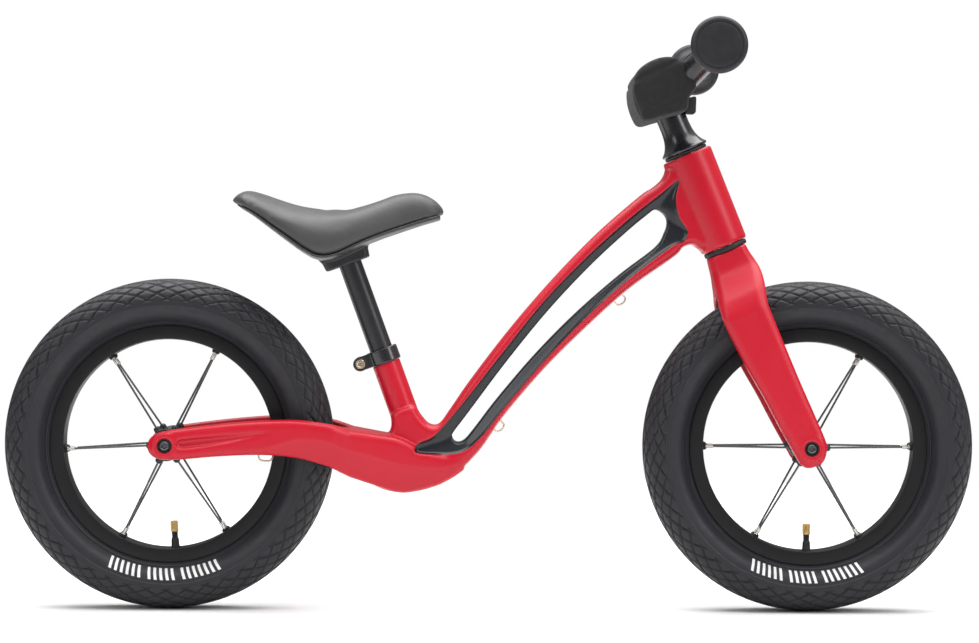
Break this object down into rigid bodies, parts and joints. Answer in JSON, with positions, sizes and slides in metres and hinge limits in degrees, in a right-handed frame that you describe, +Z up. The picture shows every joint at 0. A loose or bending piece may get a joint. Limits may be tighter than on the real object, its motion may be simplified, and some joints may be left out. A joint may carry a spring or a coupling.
{
  "type": "balance bike",
  "caption": "Child's balance bike: cast frame with a slotted two-arm beam, steering fork with padded bar, clamped seat post with saddle, and air-tyred spoked wheels; no pedals.",
  "frame": {"origin": "on the ground under the middle of the bike, midway between the two hubs", "axes": "+X forward along the bike, +Y to the rider's left, +Z up"},
  "size_m": [0.934, 0.38, 0.5589],
  "materials": {
    "red_paint": "satin red paint with a fine clear coat",
    "black_paint": "gloss black paint",
    "satin_black": "satin black coating",
    "tyre_rubber": "matt moulded rubber",
    "tube_rubber": "smooth rubber",
    "grip_rubber": "matt soft rubber",
    "pad_fabric": "matt woven cover",
    "saddle_cover": "satin imitation leather",
    "black_plastic": "fine grained plastic",
    "steel": "plated steel",
    "brass": "bright brass"
  },
  "bodies": {
    "frame": {"frame": "red_paint", "upper_headset_bearing": "steel", "lower_headset_bearing": "steel", "seat_clamp": "satin_black", "seat_clamp_bolt": "steel", "rear_axle": "steel", "rear_axle_bolt_right": "steel", "rear_axle_bolt_left": "steel"},
    "seat": {"seat_post": "satin_black", "saddle_base": "black_plastic", "saddle_pad": "saddle_cover"},
    "fork": {"fork": "red_paint", "steerer_tube": "steel", "handlebar": "black_paint", "grip_left": "grip_rubber", "grip_right": "grip_rubber", "handlebar_pad": "pad_fabric", "pad_strap": "pad_fabric", "stem_bolt": "steel", "front_axle": "steel", "front_axle_bolt_right": "steel", "front_axle_bolt_left": "steel"},
    "front_wheel": {"front_hub": "satin_black", "front_bearing_left": "steel", "front_bearing_right": "steel", "front_rim": "satin_black", "front_tyre": "tyre_rubber", "front_inner_tube": "tube_rubber", "front_valve_cap": "brass", "front_spoke_01": "steel", "front_spoke_02": "steel", "front_spoke_03": "steel", "front_spoke_04": "steel", "front_spoke_05": "steel", "front_spoke_06": "steel", "front_spoke_07": "steel", "front_spoke_08": "steel", "front_spoke_09": "steel", "front_spoke_10": "steel", "front_spoke_11": "steel", "front_spoke_12": "steel"},
    "rear_wheel": {"rear_hub": "satin_black", "rear_bearing_left": "steel", "rear_bearing_right": "steel", "rear_rim": "satin_black", "rear_tyre": "tyre_rubber", "rear_inner_tube": "tube_rubber", "rear_valve_cap": "brass", "rear_spoke_01": "steel", "rear_spoke_02": "steel", "rear_spoke_03": "steel", "rear_spoke_04": "steel", "rear_spoke_05": "steel", "rear_spoke_06": "steel", "rear_spoke_07": "steel", "rear_spoke_08": "steel", "rear_spoke_09": "steel", "rear_spoke_10": "steel", "rear_spoke_11": "steel", "rear_spoke_12": "steel"}
  },
  "joints": [
    {"name": "seat_height", "type": "slide", "parent": "frame", "child": "seat", "axis": [-0.3437, 0, 0.9391], "range_m": [-0.055, 0.02]},
    {"name": "steering", "type": "hinge", "parent": "frame", "child": "fork", "pos_m": [0.308, 0, 0.159], "axis": [-0.3875, 0, 0.9219], "continuous": true},
    {"name": "front_wheel_spin", "type": "hinge", "parent": "fork", "child": "front_wheel", "pos_m": [0.308, 0, 0.159], "axis": [0, 1, 0], "continuous": true},
    {"name": "rear_wheel_spin", "type": "hinge", "parent": "frame", "child": "rear_wheel", "pos_m": [-0.308, 0, 0.159], "axis": [0, 1, 0], "continuous": true}
  ]
}
